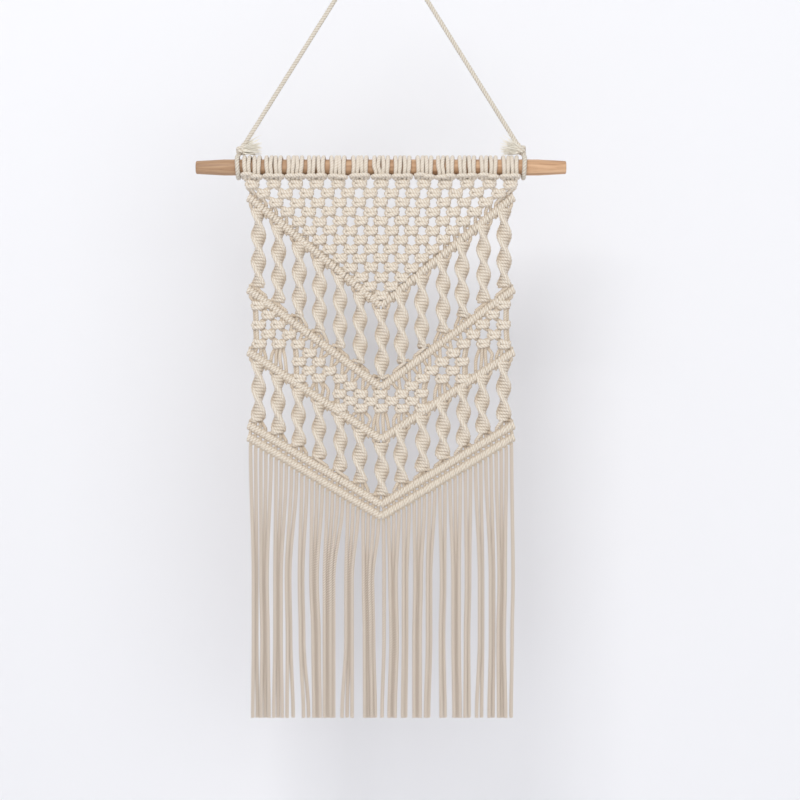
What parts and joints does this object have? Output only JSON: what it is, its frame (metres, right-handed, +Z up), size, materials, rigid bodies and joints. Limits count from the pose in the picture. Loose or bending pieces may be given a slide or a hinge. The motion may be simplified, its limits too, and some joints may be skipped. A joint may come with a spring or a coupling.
{
  "type": "knotted wall hanging",
  "caption": "Knotted cotton wall hanging on a wooden dowel, with a hanging cord, diagonal bars, spiral columns and a long cut fringe.",
  "frame": {"origin": "centre of the peg that the hanging cord goes over, inside the cord's top bend", "axes": "+Z up, +X to the right along the dowel as seen from the room, +Y back to the wall"},
  "size_m": [0.37, 0.0256, 0.7842],
  "materials": {
    "beech": "sanded, unvarnished",
    "knotted_cotton": "twisted natural cotton cord, knotted tight",
    "hanging_cotton": "twisted natural cotton cord",
    "frayed_cotton": "brushed-out cotton fibres",
    "fringe_cotton": "twisted natural cotton cord, hanging loose"
  },
  "bodies": {
    "hanger": {"hanging_cord": "hanging_cotton", "hanging_knot_left": "hanging_cotton", "hanging_knot_right": "hanging_cotton", "frayed_tail_left": "frayed_cotton", "frayed_tail_right": "frayed_cotton"},
    "panel": {"larks_head_knots": "knotted_cotton", "square_knot_net": "knotted_cotton", "knot_band": "knotted_cotton", "float_cords": "knotted_cotton", "bar_1_left": "knotted_cotton", "bar_1_right": "knotted_cotton", "bar_2_left": "knotted_cotton", "bar_2_right": "knotted_cotton", "bar_3_left": "knotted_cotton", "bar_3_right": "knotted_cotton", "bar_4_left": "knotted_cotton", "bar_4_right": "knotted_cotton", "bar_5_left": "knotted_cotton", "bar_5_right": "knotted_cotton", "upper_spiral_01": "knotted_cotton", "upper_spiral_02": "knotted_cotton", "upper_spiral_03": "knotted_cotton", "upper_spiral_04": "knotted_cotton", "upper_spiral_05": "knotted_cotton", "upper_spiral_06": "knotted_cotton", "upper_spiral_07": "knotted_cotton", "upper_spiral_08": "knotted_cotton", "upper_spiral_09": "knotted_cotton", "upper_spiral_10": "knotted_cotton", "upper_spiral_11": "knotted_cotton", "upper_spiral_12": "knotted_cotton", "upper_spiral_13": "knotted_cotton", "lower_spiral_01": "knotted_cotton", "lower_spiral_02": "knotted_cotton", "lower_spiral_03": "knotted_cotton", "lower_spiral_04": "knotted_cotton", "lower_spiral_05": "knotted_cotton", "lower_spiral_06": "knotted_cotton", "lower_spiral_07": "knotted_cotton", "lower_spiral_08": "knotted_cotton", "lower_spiral_09": "knotted_cotton", "lower_spiral_10": "knotted_cotton", "lower_spiral_11": "knotted_cotton", "lower_spiral_12": "knotted_cotton", "lower_spiral_13": "knotted_cotton"},
    "dowel_rod": {"dowel": "beech"},
    "fringe_01_bundle": {"fringe_01": "fringe_cotton"},
    "fringe_02_bundle": {"fringe_02": "fringe_cotton"},
    "fringe_03_bundle": {"fringe_03": "fringe_cotton"},
    "fringe_04_bundle": {"fringe_04": "fringe_cotton"},
    "fringe_05_bundle": {"fringe_05": "fringe_cotton"},
    "fringe_06_bundle": {"fringe_06": "fringe_cotton"},
    "fringe_07_bundle": {"fringe_07": "fringe_cotton"},
    "fringe_08_bundle": {"fringe_08": "fringe_cotton"},
    "fringe_09_bundle": {"fringe_09": "fringe_cotton"},
    "fringe_10_bundle": {"fringe_10": "fringe_cotton"},
    "fringe_11_bundle": {"fringe_11": "fringe_cotton"},
    "fringe_12_bundle": {"fringe_12": "fringe_cotton"},
    "fringe_13_bundle": {"fringe_13": "fringe_cotton"}
  },
  "joints": [
    {"name": "panel_swing", "type": "hinge", "parent": "hanger", "child": "panel", "pos_m": [0, 0, -0.222], "axis": [1, 0, 0], "range_deg": [-80, 80]},
    {"name": "dowel_slide", "type": "slide", "parent": "panel", "child": "dowel_rod", "axis": [1, 0, 0], "range_m": [-0.035, 0.035]},
    {"name": "fringe_01_swing", "type": "hinge", "parent": "panel", "child": "fringe_01_bundle", "pos_m": [0, 0, -0.5], "axis": [1, 0, 0], "range_deg": [-60, 60]},
    {"name": "fringe_02_swing", "type": "hinge", "parent": "panel", "child": "fringe_02_bundle", "pos_m": [0, 0, -0.5154], "axis": [1, 0, 0], "range_deg": [-60, 60]},
    {"name": "fringe_03_swing", "type": "hinge", "parent": "panel", "child": "fringe_03_bundle", "pos_m": [0, 0, -0.5246], "axis": [1, 0, 0], "range_deg": [-60, 60]},
    {"name": "fringe_04_swing", "type": "hinge", "parent": "panel", "child": "fringe_04_bundle", "pos_m": [0, 0, -0.5369], "axis": [1, 0, 0], "range_deg": [-60, 60]},
    {"name": "fringe_05_swing", "type": "hinge", "parent": "panel", "child": "fringe_05_bundle", "pos_m": [0, 0, -0.5462], "axis": [1, 0, 0], "range_deg": [-60, 60]},
    {"name": "fringe_06_swing", "type": "hinge", "parent": "panel", "child": "fringe_06_bundle", "pos_m": [0, 0, -0.5585], "axis": [1, 0, 0], "range_deg": [-60, 60]},
    {"name": "fringe_07_swing", "type": "hinge", "parent": "panel", "child": "fringe_07_bundle", "pos_m": [0, 0, -0.5677], "axis": [1, 0, 0], "range_deg": [-60, 60]},
    {"name": "fringe_08_swing", "type": "hinge", "parent": "panel", "child": "fringe_08_bundle", "pos_m": [0, 0, -0.5677], "axis": [1, 0, 0], "range_deg": [-60, 60]},
    {"name": "fringe_09_swing", "type": "hinge", "parent": "panel", "child": "fringe_09_bundle", "pos_m": [0, 0, -0.5523], "axis": [1, 0, 0], "range_deg": [-60, 60]},
    {"name": "fringe_10_swing", "type": "hinge", "parent": "panel", "child": "fringe_10_bundle", "pos_m": [0, 0, -0.5462], "axis": [1, 0, 0], "range_deg": [-60, 60]},
    {"name": "fringe_11_swing", "type": "hinge", "parent": "panel", "child": "fringe_11_bundle", "pos_m": [0, 0, -0.5308], "axis": [1, 0, 0], "range_deg": [-60, 60]},
    {"name": "fringe_12_swing", "type": "hinge", "parent": "panel", "child": "fringe_12_bundle", "pos_m": [0, 0, -0.5185], "axis": [1, 0, 0], "range_deg": [-60, 60]},
    {"name": "fringe_13_swing", "type": "hinge", "parent": "panel", "child": "fringe_13_bundle", "pos_m": [0, 0, -0.5], "axis": [1, 0, 0], "range_deg": [-60, 60]}
  ]
}
